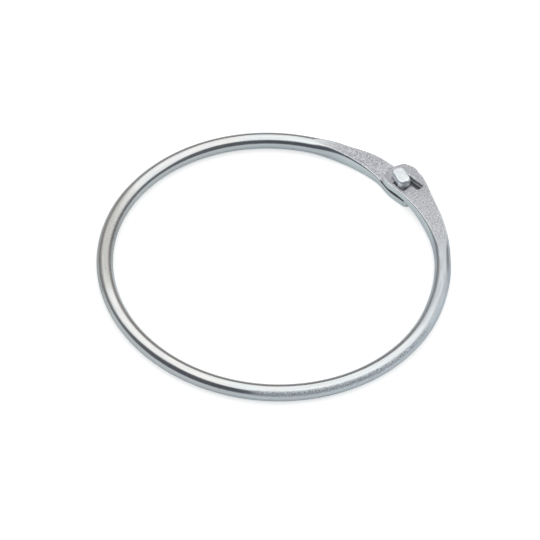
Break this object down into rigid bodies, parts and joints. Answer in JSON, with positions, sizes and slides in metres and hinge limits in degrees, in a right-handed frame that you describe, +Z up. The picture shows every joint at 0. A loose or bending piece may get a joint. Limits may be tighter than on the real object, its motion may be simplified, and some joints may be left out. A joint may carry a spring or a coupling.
{
  "type": "janitor key ring",
  "caption": "Round plated wire hoop for carrying keys, its forged flat ends overlapped and locked by a riveted hook in an L-shaped slot.",
  "frame": {"origin": "centre of the hoop, at mid-wire height", "axes": "+X from the centre out through the lock, +Z up out of the hoop's plane, on the side of the hook's head"},
  "size_m": [0.1065, 0.1016, 0.0071],
  "materials": {
    "wire_plating": "bright zinc plating, glossy on the drawn wire and matte and mottled on the forged ends",
    "hook_plating": "smooth pale plating with a soft sheen"
  },
  "bodies": {
    "root": {"hoop": "wire_plating", "hook": "hook_plating"}
  },
  "joints": []
}
